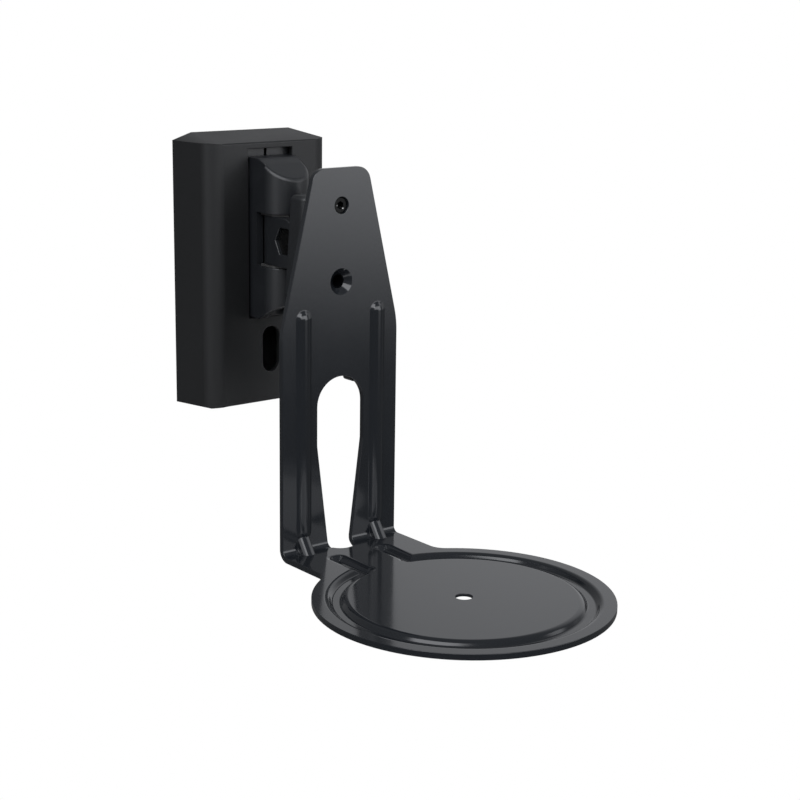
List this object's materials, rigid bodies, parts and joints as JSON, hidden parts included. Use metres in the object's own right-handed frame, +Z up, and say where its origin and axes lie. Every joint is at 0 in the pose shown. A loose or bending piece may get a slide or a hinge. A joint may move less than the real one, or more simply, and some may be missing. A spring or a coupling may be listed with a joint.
{
  "type": "speaker wall bracket",
  "caption": "Wall bracket for a compact speaker: covered wall plate, swivel and tilt hinge, and a folded steel tray with a round platform.",
  "frame": {"origin": "centre of the four wall slots, in the plane of the wall", "axes": "+Z up, -Y out of the wall towards the room and along the platform, +X to the right when facing the wall"},
  "size_m": [0.12, 0.2168, 0.1753],
  "materials": {
    "tray_coating": "smooth charcoal black, semi-gloss",
    "cast_coating": "black, satin",
    "cover_plastic": "black, satin",
    "zinc_plate": "zinc plated",
    "bright_steel": "bright",
    "black_screw": "black oxide",
    "bearing_plastic": "dark grey acetal"
  },
  "bodies": {
    "wall_side": {"wall_plate": "zinc_plate", "wall_cover": "cover_plastic", "cover_screw": "black_screw", "hinge_fork": "cast_coating", "swivel_bolt": "black_screw", "thrust_washer_lower": "bearing_plastic", "thrust_washer_upper": "bearing_plastic"},
    "knuckle": {"swivel_knuckle": "cast_coating", "tilt_bolt": "black_screw", "tilt_nut": "black_screw", "tilt_spring_washer": "bright_steel", "friction_washer_left": "bearing_plastic", "friction_washer_right": "bearing_plastic"},
    "tray": {"tilt_bracket": "cast_coating", "back_plate": "cast_coating", "tray_screw": "black_screw", "speaker_tray": "tray_coating"}
  },
  "joints": [
    {"name": "swivel", "type": "hinge", "parent": "wall_side", "child": "knuckle", "pos_m": [0, -0.0337, 0.0163], "axis": [0, 0, 1], "range_deg": [-40, 40]},
    {"name": "tilt", "type": "hinge", "parent": "knuckle", "child": "tray", "pos_m": [0, -0.0456, 0.017], "axis": [1, 0, 0], "range_deg": [-5, 15]}
  ]
}
